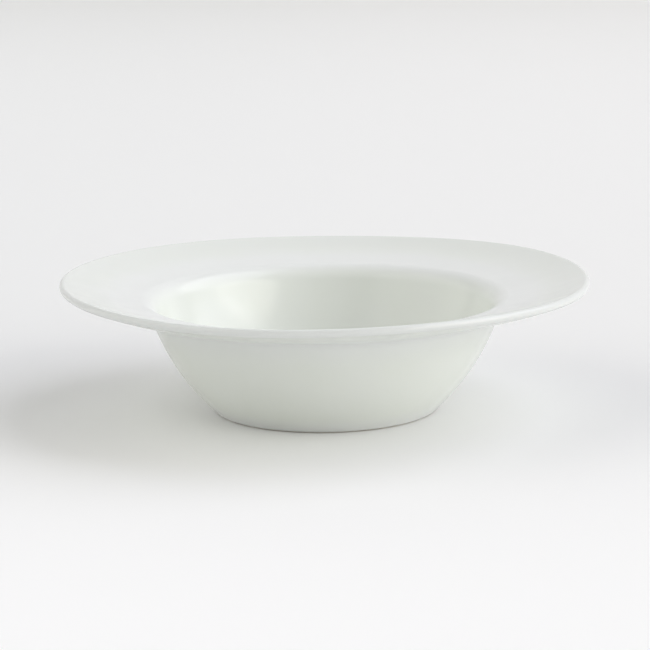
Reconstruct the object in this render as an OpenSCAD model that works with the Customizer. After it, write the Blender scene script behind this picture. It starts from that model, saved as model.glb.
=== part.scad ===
// Wide-rimmed ceramic pasta bowl: a fired body with an unglazed foot ring,
// one glaze coat over the well, the rim and the outer wall, and a second
// patch of glaze inside the foot ring.
// Lengths are in millimetres and angles in degrees. The origin is the centre
// of the table plane that the foot stands on, with +Z up the axis.

/* [Rim] */
// Outer diameter over the lip
rim_d = 300; // [260:1:340]
// Height from the table to the crest of the lip
bowl_h = 75.9; // [68:0.1:90]
// Thickness of the rounded lip
lip_t = 4.4; // [3:0.2:6]
// Slope of the rim's top face where it leaves the lip, rising outward
rim_top_slope = 19.6; // [15:0.2:23]
// Radius of the shallow dish of the rim's top face
rim_top_r = 220; // [180:5:400]
// Slope of the rim's underside where it leaves the lip
rim_under_slope = 21; // [18:0.2:23]
// Radius of the shallow bulge of the rim's underside
rim_under_r = 275; // [220:5:500]

/* [Wall] */
// Outer radius of the wall at its reference height
wall_top_r = 99.3; // [92:0.1:106]
// Reference height at which the wall has that radius
wall_top_z = 56; // [50:0.5:62]
// Radius of the wall's outward belly, seen in section
wall_curve_r = 130; // [105:1:200]
// Thickness of the wall, glaze included
wall_t = 4.3; // [3.5:0.1:7]
// Radius of the soft shoulder between the well and the rim
shoulder_r = 12.5; // [6:0.5:20]
// Radius of the hollow between the rim's underside and the wall
cove_r = 7.5; // [4:0.5:14]

/* [Well] */
// Thickness of the base, glaze included
base_t = 5.5; // [4:0.1:8]
// Radius of the curve from the flat floor up into the wall
floor_curve_r = 40; // [20:1:60]

/* [Foot] */
// Radius at which the wall's curve would reach the table
foot_r = 63; // [55:0.2:70]
// Width of the flat face that the foot ring stands on
foot_face_w = 4.5; // [3:0.5:8]
// Radius of the foot ring's two bare edges
foot_edge_r = 0.6; // [0.4:0.1:1.4]
// Height of the recess inside the foot ring
recess_h = 3; // [2:0.2:4]
// Radius of the hollow where the recess meets the foot ring
recess_curve_r = 1.5; // [1:0.1:1.8]
// Slope of the foot ring's inner side
foot_side_slope = 55; // [45:1:75]

/* [Glaze] */
// Thickness of the fired glaze
glaze_t = 0.3; // [0.2:0.05:0.6]
// Height above the table at which the outer glaze stops
glaze_line_z = 0.8; // [0.6:0.1:3]

/* [Hidden] */
// Facets round the axis
turn_facets = 240;
// Furthest that a straight edge may stray from its arc
chord_tolerance = 0.015;
wall_inner_r = wall_curve_r - wall_t;
floor_z = recess_h + base_t;

// Angles of the outward normals at the two ends of the lip and at the foot's inner side
rim_top_normal = 90 + rim_top_slope;
rim_under_normal = rim_under_slope - 90;
foot_side_normal = -90 - foot_side_slope;

// Vector of a given length at a given angle
function polar(length, angle) = length * [cos(angle), sin(angle)];

// Angle at which one point sees another
function bearing(from, to) = atan2(to.y - from.y, to.x - from.x);

// Where two circles cross, taking the crossing further from the axis
function outer_crossing(centre_a, radius_a, centre_b, radius_b) =
    let (gap = norm(centre_b - centre_a),
         along = (radius_a^2 - radius_b^2 + gap^2) / (2 * gap),
         across = sqrt(radius_a^2 - along^2),
         heading = bearing(centre_a, centre_b),
         foot_point = centre_a + polar(along, heading),
         left = foot_point + polar(across, heading + 90),
         right = foot_point + polar(across, heading - 90))
    left.x > right.x ? left : right;

// Points of an arc, both ends included
function arc(centre, radius, from, to) =
    let (widest_step = 2 * acos(1 - chord_tolerance / radius),
         steps = max(1, ceil(abs(to - from) / widest_step)))
    [for (i = [0:steps]) centre + polar(radius, from + (to - from) * i / steps)];

// The same points in the opposite order
function reversed(points) = [for (i = [len(points) - 1:-1:0]) points[i]];

// Centre of the wall's belly, on the axis side of its chord
wall_foot = [foot_r, 0];
wall_top = [wall_top_r, wall_top_z];
wall_chord = norm(wall_top - wall_foot);
wall_centre = (wall_foot + wall_top) / 2
    + polar(sqrt(wall_curve_r^2 - (wall_chord / 2)^2), bearing(wall_foot, wall_top) + 90);

// Centre of the lip's round nose
lip_centre = [rim_d / 2 - lip_t / 2, bowl_h - lip_t / 2];

// Centres of the dish of the rim's top and the bulge of its underside, which the nose
// runs into smoothly
dish_centre = lip_centre + polar(rim_top_r + lip_t / 2, rim_top_normal);
under_centre = lip_centre - polar(rim_under_r - lip_t / 2, rim_under_normal);

// Centre of the hollow that touches both the underside and the wall
cove_centre = outer_crossing(under_centre, rim_under_r + cove_r,
                             wall_centre, wall_curve_r + cove_r);

// Centre of the shoulder that touches both the rim's dish and the well's wall
shoulder_centre = outer_crossing(dish_centre, rim_top_r + shoulder_r,
                                 wall_centre, wall_inner_r + shoulder_r);

// Centre of the curve between the floor and the wall
floor_curve_z = floor_z + floor_curve_r;
floor_curve_centre = [
    wall_centre.x + sqrt((wall_inner_r - floor_curve_r)^2 - (wall_centre.y - floor_curve_z)^2),
    floor_curve_z];

// Centres of the foot ring's outer edge, inner edge and inner hollow
foot_wall_r = wall_curve_r - glaze_t - foot_edge_r;
foot_outer_centre = [
    wall_centre.x + sqrt(foot_wall_r^2 - (wall_centre.y - foot_edge_r)^2),
    foot_edge_r];
foot_inner_centre = foot_outer_centre - [foot_face_w, 0];
recess_curve_z = recess_h - recess_curve_r;
recess_curve_centre = [
    foot_inner_centre.x - (foot_edge_r + recess_curve_r + glaze_t
        + (recess_curve_z - foot_edge_r) * cos(foot_side_slope)) / sin(foot_side_slope),
    recess_curve_z];

// Angle on the wall's belly at which the outer glaze stops
glaze_line_angle = -asin((wall_centre.y - glaze_line_z) / wall_curve_r);

// Section from the middle of the well, over the rim and down to the glaze
// line, at a depth below the glazed surface
function coated_section(depth) = concat(
    [[0, floor_z - depth]],
    arc(floor_curve_centre, floor_curve_r + depth, -90, bearing(wall_centre, floor_curve_centre)),
    arc(wall_centre, wall_inner_r + depth,
        bearing(wall_centre, floor_curve_centre), bearing(wall_centre, shoulder_centre)),
    arc(shoulder_centre, shoulder_r - depth,
        bearing(wall_centre, shoulder_centre) + 180, bearing(dish_centre, shoulder_centre) + 180),
    arc(dish_centre, rim_top_r + depth,
        bearing(dish_centre, shoulder_centre), rim_top_normal - 180),
    arc(lip_centre, lip_t / 2 - depth, rim_top_normal, rim_under_normal),
    arc(under_centre, rim_under_r - depth, rim_under_normal, bearing(under_centre, cove_centre)),
    arc(cove_centre, cove_r + depth,
        bearing(cove_centre, under_centre), bearing(cove_centre, wall_centre)),
    arc(wall_centre, wall_curve_r - depth, bearing(wall_centre, cove_centre), glaze_line_angle));

// Section of the bare foot ring, from its outer edge to the foot of its inner side
function bare_foot_section() = concat(
    arc(foot_outer_centre, foot_edge_r, bearing(wall_centre, foot_outer_centre), -90),
    arc(foot_inner_centre, foot_edge_r, -90, foot_side_normal));

// Section of the recess, from the foot ring's inner side to the axis
function recess_section(depth) = concat(
    arc(recess_curve_centre, recess_curve_r + depth, foot_side_normal + 180, 90),
    [[0, recess_h + depth]]);

module turned(section) {
    rotate_extrude($fn = turn_facets) polygon(section);
}

module bowl_body() {
    color("linen")
        turned(concat(coated_section(glaze_t), bare_foot_section(), recess_section(glaze_t)));
}

module glaze_coat() {
    color("whitesmoke")
        turned(concat(coated_section(0), reversed(coated_section(glaze_t))));
}

module base_glaze() {
    color("white")
        turned(concat(recess_section(0), reversed(recess_section(glaze_t))));
}

bowl_body();
glaze_coat();
base_glaze();
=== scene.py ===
"""The looks of a wide-rimmed, white glazed pasta bowl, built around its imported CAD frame.

Lengths are in metres, in the frame of the CAD part: the origin is the centre of the table
plane under the foot ring, and +Z runs up the bowl's axis. The bowl's section is the same
chain of tangent arcs as in the CAD part, in pairs of distance from the axis and height.
"""

import bpy
import numpy as np
from mathutils import Matrix, Vector


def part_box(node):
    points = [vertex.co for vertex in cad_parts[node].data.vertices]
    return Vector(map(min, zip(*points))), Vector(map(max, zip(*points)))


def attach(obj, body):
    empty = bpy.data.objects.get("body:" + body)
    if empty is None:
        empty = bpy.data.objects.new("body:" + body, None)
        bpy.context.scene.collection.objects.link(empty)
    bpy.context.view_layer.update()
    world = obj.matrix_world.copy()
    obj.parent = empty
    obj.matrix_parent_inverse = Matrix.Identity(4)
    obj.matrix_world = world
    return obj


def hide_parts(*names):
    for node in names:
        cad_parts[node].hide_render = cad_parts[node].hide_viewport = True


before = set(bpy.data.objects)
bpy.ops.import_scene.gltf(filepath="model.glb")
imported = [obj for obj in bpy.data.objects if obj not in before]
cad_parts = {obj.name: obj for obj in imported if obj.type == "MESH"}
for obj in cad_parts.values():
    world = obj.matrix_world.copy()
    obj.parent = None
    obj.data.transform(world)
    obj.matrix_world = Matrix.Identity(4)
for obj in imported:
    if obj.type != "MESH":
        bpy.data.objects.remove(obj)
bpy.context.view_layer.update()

MM = 0.001
RIGHT_ANGLE = np.pi / 2

# Sizes that the frame gives
RIM_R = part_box("glaze_coat")[1].x
BOWL_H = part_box("glaze_coat")[1].z

# Rim
LIP_T = 4.4 * MM
RIM_TOP_SLOPE = np.radians(19.6)
RIM_TOP_R = 220 * MM
RIM_UNDER_SLOPE = np.radians(21)
RIM_UNDER_R = 275 * MM

# Wall and well
WALL_TOP = np.array([99.3 * MM, 56 * MM])
WALL_CURVE_R = 130 * MM
WALL_T = 4.3 * MM
SHOULDER_R = 12.5 * MM
COVE_R = 7.5 * MM
BASE_T = 5.5 * MM
FLOOR_CURVE_R = 40 * MM

# Foot ring
WALL_FOOT = np.array([63 * MM, 0])
FOOT_FACE_W = 4.5 * MM
FOOT_EDGE_R = 0.6 * MM
FOOT_SIDE_SLOPE = np.radians(55)
RECESS_H = 3 * MM
RECESS_CURVE_R = 1.5 * MM

# Glaze
GLAZE_T = 0.3 * MM
GLAZE_LINE_Z = 0.8 * MM

# What the firing does to the rim: it lifts and dips in waves. Each has its number of
# crests round the rim, its height at the lip and the bearing of one crest in degrees
RIM_WAVES = (
    (1, 0.56 * MM, 180),
    (2, 0.62 * MM, -5),
    (3, 0.51 * MM, 41),
    (4, 0.33 * MM, 30),
)
WARP_START_R = 90 * MM
# And to the glaze: its line wavers round the foot, in waves that each have their number
# round the foot, their share of the waver and their phase, and it gathers in a low roll
# above the line
LINE_WAVER = 0.15 * MM
LINE_WAVES = ((3, 0.5, 0.6), (7, 0.3, 2.1), (17, 0.2, 4.0))
WAVER_TOP_Z = 14 * MM
ROLL_T = 0.12 * MM
ROLL_W = 1.1 * MM
# Height above the table up to which the wall's rings are close enough to show the roll
ROLL_ZONE_Z = 6 * MM

# Spacings of the mesh rings on broad faces, round bends and round small edges: first
# where they show, and then on the faces where glaze and body meet
SHOWN_STEPS = (2.0 * MM, 0.8 * MM, 0.35 * MM)
HIDDEN_STEPS = (8 * MM, 2 * MM, 0.9 * MM)
# Spacing of the points round the edge in which the glaze ends
GLAZE_EDGE_STEP = GLAZE_T / 4
# Points closer than this are one point
SAME_POINT = GLAZE_T / 1000
# Number of points round the axis
TURNS = 360

FLOOR_Z = RECESS_H + BASE_T
WALL_INNER_R = WALL_CURVE_R - WALL_T


def polar(length, angle):
    """The vector of a given length at a given angle."""
    return length * np.array([np.cos(angle), np.sin(angle)])


def bearing(start, end):
    """The angle at which one point sees another."""
    return np.arctan2(end[1] - start[1], end[0] - start[0])


def outer_crossing(centre_a, radius_a, centre_b, radius_b):
    """The crossing of two circles that lies further from the axis: from the first centre,
    (ra^2 - rb^2 + gap^2) / (2 gap) towards the second and then sideways onto its circle."""
    gap = np.linalg.norm(centre_b - centre_a)
    along = (radius_a**2 - radius_b**2 + gap**2) / (2 * gap)
    across = np.sqrt(radius_a**2 - along**2)
    heading = bearing(centre_a, centre_b)
    middle = centre_a + polar(along, heading)
    sides = [middle + polar(across, heading + turn) for turn in (RIGHT_ANGLE, -RIGHT_ANGLE)]
    return max(sides, key=lambda point: point[0])


def arc(centre, radius, start, end, step):
    """Points at an even spacing along an arc about a centre, both ends included."""
    count = max(2, int(np.ceil(abs(end - start) * radius / step)))
    angles = np.linspace(start, end, count + 1)
    return centre + radius * np.stack([np.cos(angles), np.sin(angles)], axis=1)


def straight(start, end, step):
    """Points at an even spacing along a straight line, both ends included."""
    count = max(1, int(np.ceil(np.linalg.norm(end - start) / step)))
    share = np.linspace(0, 1, count + 1)[:, None]
    return start + (end - start) * share


def joined(stretches):
    """One outline from stretches that follow each other, with each shared end kept once."""
    points = np.concatenate(stretches)
    gaps = np.linalg.norm(np.diff(points, axis=0), axis=1)
    return points[np.concatenate([[True], gaps > SAME_POINT])]


# Directions of the outward normals at the lip's two ends and at the foot's inner side
RIM_TOP_NORMAL = RIGHT_ANGLE + RIM_TOP_SLOPE
RIM_UNDER_NORMAL = RIM_UNDER_SLOPE - RIGHT_ANGLE
FOOT_SIDE_NORMAL = -RIGHT_ANGLE - FOOT_SIDE_SLOPE

# Centre of the wall's belly, on the axis side of its chord
half_chord = np.linalg.norm(WALL_TOP - WALL_FOOT) / 2
WALL = (WALL_FOOT + WALL_TOP) / 2 + polar(
    np.sqrt(WALL_CURVE_R**2 - half_chord**2), bearing(WALL_FOOT, WALL_TOP) + RIGHT_ANGLE
)

# Centres of the lip, of the dish of the rim's top and of the bulge of its underside
LIP = np.array([RIM_R - LIP_T / 2, BOWL_H - LIP_T / 2])
DISH = LIP + polar(RIM_TOP_R + LIP_T / 2, RIM_TOP_NORMAL)
UNDER = LIP - polar(RIM_UNDER_R - LIP_T / 2, RIM_UNDER_NORMAL)

# Centres of the shoulder between the dish and the well's wall, and of the cove between
# the underside and the outer wall
SHOULDER = outer_crossing(DISH, RIM_TOP_R + SHOULDER_R, WALL, WALL_INNER_R + SHOULDER_R)
COVE = outer_crossing(UNDER, RIM_UNDER_R + COVE_R, WALL, WALL_CURVE_R + COVE_R)

# Centre of the curve between the well's floor and its wall
drop = WALL[1] - FLOOR_Z - FLOOR_CURVE_R
FLOOR_CURVE = np.array([
    WALL[0] + np.sqrt((WALL_INNER_R - FLOOR_CURVE_R) ** 2 - drop**2),
    FLOOR_Z + FLOOR_CURVE_R,
])

# Centres of the foot ring's outer edge, inner edge and inner hollow
foot_out = np.sqrt(
    (WALL_CURVE_R - GLAZE_T - FOOT_EDGE_R) ** 2 - (WALL[1] - FOOT_EDGE_R) ** 2
)
FOOT_OUTER = np.array([WALL[0] + foot_out, FOOT_EDGE_R])
FOOT_INNER = FOOT_OUTER - np.array([FOOT_FACE_W, 0])
recess_run = FOOT_EDGE_R + RECESS_CURVE_R + GLAZE_T
recess_run += (RECESS_H - RECESS_CURVE_R - FOOT_EDGE_R) * np.cos(FOOT_SIDE_SLOPE)
RECESS = np.array([
    FOOT_INNER[0] - recess_run / np.sin(FOOT_SIDE_SLOPE),
    RECESS_H - RECESS_CURVE_R,
])
RECESS_START = FOOT_SIDE_NORMAL + np.pi


def wall_angle(height):
    """The direction from the belly's centre to the outer wall's face at a height."""
    return -np.arcsin((WALL[1] - height) / WALL_CURVE_R)


def coated_section(depth, steps):
    """From the middle of the well over the rim to the glaze line, at a depth below the
    glazed surface: convex arcs lose the depth from their radius and hollow ones gain it."""
    broad, bend, edge = steps
    floor_turn = bearing(WALL, FLOOR_CURVE)
    well_turn = bearing(WALL, SHOULDER)
    dish_turn = bearing(DISH, SHOULDER)
    roll_turn = wall_angle(ROLL_ZONE_Z)
    floor_curve = arc(FLOOR_CURVE, FLOOR_CURVE_R + depth, -RIGHT_ANGLE, floor_turn, broad)
    well_wall = arc(WALL, WALL_INNER_R + depth, floor_turn, well_turn, broad)
    shoulder = arc(SHOULDER, SHOULDER_R - depth, well_turn + np.pi, dish_turn + np.pi, bend)
    rim_top = arc(DISH, RIM_TOP_R + depth, dish_turn, RIM_TOP_NORMAL - np.pi, broad)
    lip = arc(LIP, LIP_T / 2 - depth, RIM_TOP_NORMAL, RIM_UNDER_NORMAL, edge)
    underside = arc(UNDER, RIM_UNDER_R - depth, RIM_UNDER_NORMAL, bearing(UNDER, COVE), broad)
    cove = arc(COVE, COVE_R + depth, bearing(COVE, UNDER), bearing(COVE, WALL), bend)
    belly = arc(WALL, WALL_CURVE_R - depth, bearing(WALL, COVE), roll_turn, broad)
    roll = arc(WALL, WALL_CURVE_R - depth, roll_turn, wall_angle(GLAZE_LINE_Z), edge)
    floor = straight(np.array([0, FLOOR_Z - depth]), floor_curve[0], broad)
    return joined([
        floor, floor_curve, well_wall, shoulder, rim_top, lip, underside, cove, belly, roll
    ])


def bare_foot_section(steps):
    """The bare foot ring, from its outer edge over its standing face to its inner side."""
    _, bend, edge = steps
    outer = arc(FOOT_OUTER, FOOT_EDGE_R, bearing(WALL, FOOT_OUTER), -RIGHT_ANGLE, edge)
    inner = arc(FOOT_INNER, FOOT_EDGE_R, -RIGHT_ANGLE, FOOT_SIDE_NORMAL, edge)
    return joined([outer, straight(outer[-1], inner[0], bend), inner])


def recess_section(depth, steps):
    """The recess at a depth above its glazed face, from the foot ring's side to the axis."""
    broad, _, edge = steps
    hollow = arc(RECESS, RECESS_CURVE_R + depth, RECESS_START, RIGHT_ANGLE, edge)
    return joined([hollow, straight(hollow[-1], np.array([0, RECESS_H + depth]), broad)])


def glaze_edge(centre, radius, start):
    """The half round in which a coat of glaze ends: its middle lies in the coat's middle,
    at an angle seen from the centre of the arc that the coat follows."""
    middle = centre + polar(radius, start)
    return arc(middle, GLAZE_T / 2, start, start - np.pi, GLAZE_EDGE_STEP)


def smooth_step(values, low, high):
    """0 below low, 1 above high, and 3t^2 - 2t^3 of the way t between them."""
    share = np.clip((values - low) / (high - low), 0, 1)
    return share * share * (3 - 2 * share)


def warped(radius, height, angle):
    """The fired rim: it rises by a sum of h * cos(n * (angle - crest)) over its waves, which
    grows from nothing at WARP_START_R."""
    waves = sum(tall * np.cos(count * (angle - np.radians(crest)))
                for count, tall, crest in RIM_WAVES)
    return radius, height + waves * smooth_step(radius, WARP_START_R, RIM_R)


def flowed(radius, height, angle):
    """The fired glaze: low on the wall's outer arc its points turn about the arc's centre
    by a sum of sine waves round the foot, so that the glaze line wavers, and they move off
    the wall by ROLL_T * exp(-d^2) with d the distance from the line in widths of the roll."""
    out = radius - WALL[0]
    up = height - WALL[1]
    from_centre = np.hypot(out, up)
    depth = WALL_CURVE_R - from_centre
    on_wall = (depth < 2 * GLAZE_T) & (up < 0)
    waves = sum(part * np.sin(count * angle + phase) for count, part, phase in LINE_WAVES)
    fade = 1 - smooth_step(height, GLAZE_LINE_Z, WAVER_TOP_Z)
    turn = np.where(on_wall, LINE_WAVER * waves * fade / WALL_CURVE_R, 0)
    above = (height - GLAZE_LINE_Z - GLAZE_T) / ROLL_W
    lift = ROLL_T * np.exp(-above**2) * np.clip(1 - depth / GLAZE_T, 0, 1)
    stretch = 1 + np.where(on_wall, lift, 0) / from_centre
    new_out = (out * np.cos(turn) - up * np.sin(turn)) * stretch
    new_up = (out * np.sin(turn) + up * np.cos(turn)) * stretch
    return warped(WALL[0] + new_out, WALL[1] + new_up, angle)


def turned_mesh(name, outline, place):
    """A closed mesh turned round the axis from an outline that starts and ends on it: a
    point at (r, h) goes to (r cos a, r sin a, h) for each angle a, after place(r, h, a) has
    moved r and h. The outline's two ends become single poles."""
    angles = np.linspace(0, 2 * np.pi, TURNS, endpoint=False)[None, :]
    rings = outline[1:-1]
    radius, height = place(rings[:, :1], rings[:, 1:], angles)
    grid = np.stack([radius * np.cos(angles), radius * np.sin(angles),
                     height + 0 * angles], axis=-1)
    poles = np.array([[0, 0, outline[0, 1]], [0, 0, outline[-1, 1]]])
    points = np.concatenate([grid.reshape(-1, 3), poles])
    ring, spoke = np.meshgrid(np.arange(len(rings) - 1), np.arange(TURNS), indexing="ij")
    beside = (spoke + 1) % TURNS
    quads = np.stack([ring * TURNS + spoke, (ring + 1) * TURNS + spoke,
                      (ring + 1) * TURNS + beside, ring * TURNS + beside], axis=-1)
    here = np.arange(TURNS)
    there = (here + 1) % TURNS
    last = (len(rings) - 1) * TURNS
    first_pole = np.full(TURNS, len(points) - 2)
    first_fan = np.stack([first_pole, here, there], axis=-1)
    last_fan = np.stack([first_pole + 1, last + there, last + here], axis=-1)
    faces = quads.reshape(-1, 4).tolist() + first_fan.tolist() + last_fan.tolist()
    mesh = bpy.data.meshes.new(name)
    mesh.from_pydata(points.tolist(), [], faces)
    mesh.polygons.foreach_set("use_smooth", np.ones(len(faces), dtype=bool))
    mesh.update()
    return mesh


def in_scene(name, data):
    """An object for a mesh, a lamp or a camera, linked into the scene."""
    made = bpy.data.objects.new(name, data)
    bpy.context.scene.collection.objects.link(made)
    return made


def fired_piece(name, outline, place, finish, node):
    """A turned piece that stands for a CAD node and takes its finish from a slot."""
    piece = in_scene(name, turned_mesh(name, outline, place))
    piece.data.materials.append(finish)
    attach(piece, "root")
    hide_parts(node)


# A cell is in or out of a share over this small rise
SHARE_EDGE = 1.01


class Value:
    """A shader socket on which Python arithmetic adds Math nodes."""

    def __init__(self, finish, socket):
        self.finish = finish
        self.socket = socket

    def math(self, operation, first, second):
        """The result of a Math node on two values."""
        return self.finish.node("ShaderNodeMath", {"operation": operation},
                                {0: first, 1: second})

    def __add__(self, other):
        return self.math("ADD", self, other)

    def __sub__(self, other):
        return self.math("SUBTRACT", self, other)

    def __rsub__(self, other):
        return self.math("SUBTRACT", other, self)

    def __mul__(self, other):
        return self.math("MULTIPLY", self, other)

    def __pow__(self, other):
        return self.math("POWER", self, other)

    __radd__ = __add__


class Finish:
    """A material in the making. Its patterns follow the piece's own coordinates."""

    def __init__(self, name):
        self.material = bpy.data.materials.new(name)
        self.material.use_nodes = True
        self.tree = self.material.node_tree
        self.tree.nodes.clear()

    def node(self, kind, settings=None, inputs=None, output=0):
        """Adds a node: its settings are made first, then its sockets are filled or linked."""
        made = self.tree.nodes.new(kind)
        for key, value in (settings or {}).items():
            setattr(made, key, value)
        for key, value in (inputs or {}).items():
            if isinstance(value, Value):
                self.tree.links.new(value.socket, made.inputs[key])
            else:
                made.inputs[key].default_value = value
        return Value(self, made.outputs[output]) if made.outputs else made

    def point(self):
        """Where on the piece a point lies."""
        return self.node("ShaderNodeTexCoord", output="Object")

    def parts(self, vector):
        """The three numbers of a vector or a colour."""
        split = self.node("ShaderNodeSeparateXYZ", inputs={0: vector}).socket.node
        return [Value(self, output) for output in split.outputs]

    def step(self, value, low, high):
        """0 below low, 1 above high, and a smooth rise between them."""
        return self.node("ShaderNodeMapRange", {"interpolation_type": "SMOOTHSTEP"},
                         {"Value": value, "From Min": low, "From Max": high})

    def noise(self, point, blotch, detail=2.0):
        """Soft noise about 0.5, with blotches of about a given width."""
        return self.node("ShaderNodeTexNoise", {"noise_dimensions": "3D"},
                         {"Vector": point, "Scale": 1 / blotch, "Detail": detail})

    def specks(self, point, spacing, radius, share):
        """Round specks about one place in each cell of a spacing, in a share of the cells:
        1 within half a radius, 0 beyond the radius and a smooth fall between them."""
        cells = self.node("ShaderNodeTexVoronoi", {"voronoi_dimensions": "3D"},
                          {"Vector": point, "Scale": 1 / spacing}).socket.node
        inside = 1 - self.step(Value(self, cells.outputs["Distance"]),
                               0.5 * radius / spacing, radius / spacing)
        draw = self.parts(Value(self, cells.outputs["Color"]))[0]
        return inside * (1 - self.step(draw, share, share * SHARE_EDGE))

    def blend(self, mask, first, second):
        """A colour that goes from the first to the second where the mask goes from 0 to 1."""
        return self.node("ShaderNodeMix", {"data_type": "RGBA"},
                         {0: mask, 6: first, 7: second}, output=2)

    def relief(self, height, rise, over=None):
        """A normal tilted by a height of 0 to 1 that stands for a rise in metres."""
        inputs = {"Height": height, "Distance": rise, "Strength": 1.0}
        if over:
            inputs["Normal"] = over
        return self.node("ShaderNodeBump", inputs=inputs)

    def surfaced(self, inputs):
        """The finished material, with a Principled surface of the given sockets."""
        shader = self.node("ShaderNodeBsdfPrincipled", inputs=inputs)
        self.node("ShaderNodeOutputMaterial", inputs={"Surface": shader})
        return self.material


# Colours, as reflected shares of red, green and blue
GLAZE_WHITE = (0.775, 0.805, 0.755, 1)
# The next two tones also serve as painted light and painted shade: the thick one lighter and
# cooler round the well's edge and low on the wall, the thin one darker over the rim and the
# lip
GLAZE_THICK_AND_LIT = (0.785, 0.805, 0.79, 1)
GLAZE_THIN_AND_SHADE = (0.72, 0.74, 0.725, 1)
BODY_WARM = (0.70, 0.66, 0.59, 1)
BODY_PALE = (0.78, 0.75, 0.69, 1)
BODY_GRAIN = (0.52, 0.46, 0.38, 1)
RUBBED_GREY = (0.50, 0.49, 0.47, 1)

# Glaze: the refractive index of its glass and of the clay's, and its roughness, which
# rises by up to a dulling in blotches
GLASS_IOR = 1.5
GLOSS_ROUGHNESS = 0.16
GLOSS_DULLING = 0.10
GLOSS_BLOTCH = 18 * MM
# The widths and heights of its slow swell and of its orange peel
SWELL = (26 * MM, 0.10 * MM)
PEEL = (2.6 * MM, 0.008 * MM)
# Its pinholes: their spacing, their radius and the share of places that have one, then
# their depth and how far they take on the body's colour
PINHOLES = (9 * MM, 0.28 * MM, 0.10)
PINHOLE_DEPTH = 0.05 * MM
PINHOLE_TINT = 0.35
# Its clouds, which are a little thicker: their width in the coat and in the recess, the
# band of the noise that they rise over and how strong they are in each
COAT_CLOUD = 34 * MM
RECESS_CLOUD = 20 * MM
CLOUD_BAND = (0.3, 0.8)
COAT_CLOUDS = 0.3
RECESS_CLOUDS = 0.35

# Painted light, as distances from the axis: the glaze is painted lighter and cooler towards
# the rim's dish round the well's edge, and this falls again beyond it
LIT_RIM_RISE = (SHOULDER[0] - 14 * MM, SHOULDER[0] - 4 * MM)
LIT_RIM_FALL = (SHOULDER[0] + 6 * MM, SHOULDER[0] + 30 * MM)
# Painted shade: darker over the rim, growing outwards, then more at the lip, with the
# strength of each
RIM_SHADE_SPAN = (SHOULDER[0] + 10 * MM, RIM_R - 10 * MM)
LIP_SHADE_SPAN = (RIM_R - 3 * MM, RIM_R)
RIM_SHADE_STRENGTH = 0.4
LIP_SHADE_STRENGTH = 0.7
# The pool in the well's corner: its height above the floor, its edge and its strength
POOL_TOP = 12 * MM
POOL_EDGE = (WALL_FOOT[0] - 5 * MM, WALL_FOOT[0])
POOLING = 0.6
# The height of the band above the glaze line that is painted lighter, as painted light low on
# the wall, and the width of the pool beside the foot ring in the recess
LIT_BAND_H = 10 * MM
RECESS_POOL_W = 6 * MM

# Bare clay: the width of its grain, the band of noise in which it shows and its strength
GRAIN_W = 0.5 * MM
GRAIN_BAND = (0.55, 0.75)
GRAIN_TINT = 0.35
GRAIN_RISE = 0.06 * MM
# Its clouds of warmer and paler clay
CLAY_CLOUD = 7 * MM
CLAY_CLOUD_BAND = (0.3, 0.7)
# Iron flecks and open pores: spacing, radius and the share of places that have one
FLECKS = (1.6 * MM, 0.2 * MM, 0.12)
FLECK_TINT = 0.7
PORES = (0.9 * MM, 0.16 * MM, 0.3)
PORE_DEPTH = 0.05 * MM
# The rubbed standing face: the heights over which the rubbing ends, its streaks and how
# far it greys and smooths the clay
RUBBED_HEIGHT = (0.02 * MM, 0.25 * MM)
STREAK_W = 3 * MM
STREAK_BAND = (0.45, 0.65)
RUBBED_TINT = 0.4
RUBBED_SMOOTHING = 0.25
CLAY_ROUGHNESS = 0.92
CLAY_SPECULAR = 0.25
# Detail of the noises: for the orange peel, for the rubbed streaks and for the grain
SMOOTH = 1.0
STREAKED = 3.0
GRAINY = 4.0


def glazed(finish, point, thick_and_lit, thin_and_shade):
    """White glaze, with masks of where it lies thick and thin, which on the coat also carry
    painted
    light and painted shade: soft ripples of orange peel, a slow swell, a few pinholes and a
    gloss that dulls a little from place to place."""
    colour = finish.blend(thick_and_lit, GLAZE_WHITE, GLAZE_THICK_AND_LIT)
    colour = finish.blend(thin_and_shade, colour, GLAZE_THIN_AND_SHADE)
    pinholes = finish.specks(point, *PINHOLES)
    colour = finish.blend(pinholes * PINHOLE_TINT, colour, BODY_GRAIN)
    swell_w, swell_rise = SWELL
    swell = finish.relief(finish.noise(point, swell_w), swell_rise)
    peel_w, peel_rise = PEEL
    peel = finish.relief(finish.noise(point, peel_w, SMOOTH), peel_rise, swell)
    pitted = finish.relief(1 - pinholes, PINHOLE_DEPTH, peel)
    gloss = GLOSS_ROUGHNESS + finish.noise(point, GLOSS_BLOTCH) * GLOSS_DULLING
    return finish.surfaced({
        "Base Color": colour, "Roughness": gloss, "IOR": GLASS_IOR, "Normal": pitted})


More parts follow.
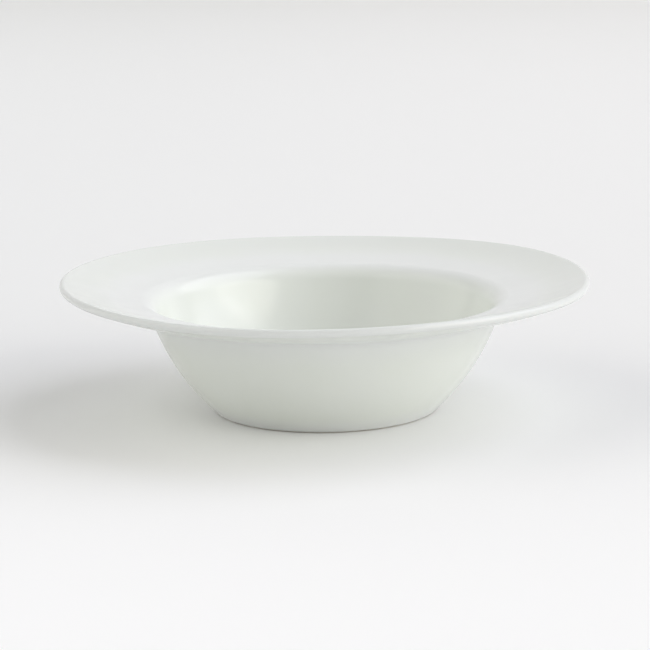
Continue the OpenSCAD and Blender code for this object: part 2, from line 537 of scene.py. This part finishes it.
def coat_glaze():
    """The glaze over the well, the rim and the wall: thicker in clouds and in the well's
    corner, with painted light round the well's edge and above its line, and painted shade
    over the rim and more at the lip."""
    finish = Finish("white_glaze")
    point = finish.point()
    x, y, z = finish.parts(point)
    from_axis = (x * x + y * y) ** 0.5
    # Painted light: lighter and cooler round the well's edge and over the inner rim
    lit_rim = finish.step(from_axis, *LIT_RIM_RISE)
    lit_rim = lit_rim - finish.step(from_axis, *LIT_RIM_FALL)
    # Painted shade: darker over the rim, growing outwards, and more at the lip
    thin_and_shade = finish.step(from_axis, *RIM_SHADE_SPAN) * RIM_SHADE_STRENGTH
    thin_and_shade = thin_and_shade + finish.step(from_axis, *LIP_SHADE_SPAN) * LIP_SHADE_STRENGTH
    low = 1 - finish.step(z, FLOOR_Z, FLOOR_Z + POOL_TOP)
    inside = 1 - finish.step(from_axis, *POOL_EDGE)
    # Painted light: the wall is lighter in a band just above the glaze line
    lit_wall_foot = 1 - finish.step(z, GLAZE_LINE_Z, GLAZE_LINE_Z + LIT_BAND_H)
    clouds = finish.step(finish.noise(point, COAT_CLOUD), *CLOUD_BAND)
    thick_and_lit = clouds * COAT_CLOUDS + lit_rim + low * inside * POOLING + lit_wall_foot
    return glazed(finish, point, thick_and_lit, thin_and_shade)


def recess_glaze():
    """The glaze inside the foot ring: it pools in the hollow beside the ring and thins out
    at its edge."""
    finish = Finish("recess_glaze")
    point = finish.point()
    x, y, z = finish.parts(point)
    from_axis = (x * x + y * y) ** 0.5
    hollow = finish.step(from_axis, RECESS[0] - RECESS_POOL_W, RECESS[0])
    thin_and_shade = 1 - finish.step(z, RECESS[1], RECESS_H)
    clouds = finish.step(finish.noise(point, RECESS_CLOUD), *CLOUD_BAND)
    return glazed(finish, point, clouds * RECESS_CLOUDS + hollow * POOLING, thin_and_shade)


def bare_clay():
    """The unglazed foot ring: warm fired clay with a fine grain, open pores, iron flecks
    and a face rubbed grey where it stands."""
    finish = Finish("fired_body")
    point = finish.point()
    z = finish.parts(point)[2]
    grain = finish.noise(point, GRAIN_W, GRAINY)
    clouds = finish.step(finish.noise(point, CLAY_CLOUD), *CLAY_CLOUD_BAND)
    colour = finish.blend(clouds, BODY_WARM, BODY_PALE)
    colour = finish.blend(finish.step(grain, *GRAIN_BAND) * GRAIN_TINT, colour, BODY_GRAIN)
    flecks = finish.specks(point, *FLECKS)
    colour = finish.blend(flecks * FLECK_TINT, colour, BODY_GRAIN)
    streaks = finish.step(finish.noise(point, STREAK_W, STREAKED), *STREAK_BAND)
    rubbed = (1 - finish.step(z, *RUBBED_HEIGHT)) * streaks
    colour = finish.blend(rubbed * RUBBED_TINT, colour, RUBBED_GREY)
    pores = finish.specks(point, *PORES)
    coarse = finish.relief(grain, GRAIN_RISE)
    return finish.surfaced({
        "Base Color": colour, "Roughness": CLAY_ROUGHNESS - rubbed * RUBBED_SMOOTHING,
        "IOR": GLASS_IOR, "Specular IOR Level": CLAY_SPECULAR,
        "Normal": finish.relief(1 - pores, PORE_DEPTH, coarse)})


coat_outline = joined([
    coated_section(0, SHOWN_STEPS),
    glaze_edge(WALL, WALL_CURVE_R - GLAZE_T / 2, wall_angle(GLAZE_LINE_Z)),
    coated_section(GLAZE_T, HIDDEN_STEPS)[::-1],
])
fired_piece("white_glaze_coat", coat_outline, flowed, coat_glaze(), "glaze_coat")

body_outline = joined([
    coated_section(GLAZE_T, HIDDEN_STEPS),
    bare_foot_section(SHOWN_STEPS),
    recess_section(GLAZE_T, HIDDEN_STEPS),
])
fired_piece("fired_body", body_outline, warped, bare_clay(), "bowl_body")

patch_outline = joined([
    recess_section(GLAZE_T, HIDDEN_STEPS)[::-1],
    glaze_edge(RECESS, RECESS_CURVE_R + GLAZE_T / 2, RECESS_START),
    recess_section(0, SHOWN_STEPS),
])
fired_piece("recess_glaze_patch", patch_outline, warped, recess_glaze(), "base_glaze")

# Stage: a pale ground that runs on behind the bowl, and a backdrop that stands on it
# just beyond the camera's view, where the rim and the well mirror it. The ground's tone is
# painted light and shade: it changes from the lit near one to the shaded far ones, which
# already lie under the bowl, over its back span in y, and from the darker left one to the
# right one over GROUND_ACROSS in x
GROUND_REACH = 7.0
# Painted light in the near tone, and painted shade in the darker far tones, which reach under
# the bowl
GROUND_LIT_NEAR = (0.96, 0.96, 0.955, 1)
GROUND_SHADED_LEFT = (0.835, 0.84, 0.835, 1)
GROUND_SHADED_RIGHT = (0.865, 0.865, 0.86, 1)
GROUND_SHADE_SPAN = (-0.45, 0.2)
GROUND_ACROSS = (-0.5, 0.5)
BACKDROP_TONE = (0.93, 0.93, 0.95, 1)
BACKDROP_Y = 4.0
BACKDROP_HALF_W = 4.8
BACKDROP_TOP = 3.2


def matt(finish, colour):
    """The finished material of a fully matt surface."""
    return finish.surfaced({
        "Base Color": colour, "Roughness": 1.0, "Specular IOR Level": 0.0})


def painted_light_ground():
    """A matt ground painted with light and shade: lighter near the camera, slightly darker
    under and behind the bowl, more so on the left.
    """
    finish = Finish("painted_light_ground")
    x, y, _ = finish.parts(finish.point())
    shaded_tone = finish.blend(finish.step(x, *GROUND_ACROSS), GROUND_SHADED_LEFT, GROUND_SHADED_RIGHT)
    return matt(finish, finish.blend(finish.step(y, *GROUND_SHADE_SPAN), GROUND_LIT_NEAR, shaded_tone))


def pale_backdrop():
    """A matt wall of one tone."""
    return matt(Finish("pale_backdrop"), BACKDROP_TONE)


def stage_sheet(name, corners, finish):
    """A flat sheet of the stage between four corners."""
    mesh = bpy.data.meshes.new(name)
    mesh.from_pydata(corners, [], [(0, 1, 2, 3)])
    mesh.materials.append(finish)
    in_scene(name, mesh)


stage_sheet("ground", [
    (x * GROUND_REACH, y * GROUND_REACH, 0) for x, y in ((-1, -1), (1, -1), (1, 1), (-1, 1))
], painted_light_ground())
stage_sheet("backdrop", [
    (x * BACKDROP_HALF_W, BACKDROP_Y, z * BACKDROP_TOP)
    for x, z in ((-1, 0), (1, 0), (1, 1), (-1, 1))
], pale_backdrop())

# Light: an even white room and soft distant lamps, daylight from the right and behind and
# warmer room light from the left and the front. Each lamp has its bearing from +X towards
# +Y, its height above the horizon and its width in degrees, and then its share of the light
# on the ground and its tint
WHITE = (1, 1, 1, 1)
ROOM_LIGHT = 0.305
DAYLIGHT = (0.97, 0.975, 1.06)
ROOM_WARM = (1.03, 1.01, 0.95)
LAMPS = {
    "key_lamp": (12, 44, 58, 0.29, DAYLIGHT),
    "back_lamp": (110, 55, 50, 0.052, DAYLIGHT),
    "left_lamp": (186, 24, 76, 0.17, ROOM_WARM),
    "front_lamp": (330, 15, 50, 0.128, ROOM_WARM),
}

world = bpy.data.worlds.new("white_room")
bpy.context.scene.world = world
world.use_nodes = True
background = world.node_tree.nodes["Background"]
background.inputs["Color"].default_value = WHITE
background.inputs["Strength"].default_value = ROOM_LIGHT

for name, (turn, rise, width, share, tint) in LAMPS.items():
    lamp = bpy.data.lights.new(name, "SUN")
    lamp.color = tint
    lamp.angle = np.radians(width)
    lamp.energy = share * np.pi / np.sin(np.radians(rise))
    beam = polar(np.cos(np.radians(rise)), np.radians(turn))
    towards_lamp = Vector((beam[0], beam[1], np.sin(np.radians(rise))))
    in_scene(name, lamp).rotation_euler = towards_lamp.to_track_quat("Z", "Y").to_euler()

# Camera: about 12 degrees above the table plane, rolled by just under one degree
CAMERA_AT = Vector((0, -1.3212, 0.3174))
CAMERA_AIM = Vector((-0.00014, 0, 0.04764))
CAMERA_LENS = 130.79
SENSOR_W = 36
CAMERA_ROLL = np.radians(-0.86)

camera = in_scene("camera", bpy.data.cameras.new("camera"))
camera.data.lens = CAMERA_LENS
camera.data.sensor_width = SENSOR_W
forward = (CAMERA_AIM - CAMERA_AT).normalized()
level = forward.cross(Vector((0, 0, 1))).normalized()
upward = level.cross(forward)
right = np.cos(CAMERA_ROLL) * level + np.sin(CAMERA_ROLL) * upward
up = np.cos(CAMERA_ROLL) * upward - np.sin(CAMERA_ROLL) * level
turned = Matrix((right, up, -forward)).transposed().to_4x4()
camera.matrix_world = Matrix.Translation(CAMERA_AT) @ turned
bpy.context.scene.camera = camera

bpy.context.scene.view_settings.view_transform = "Standard"
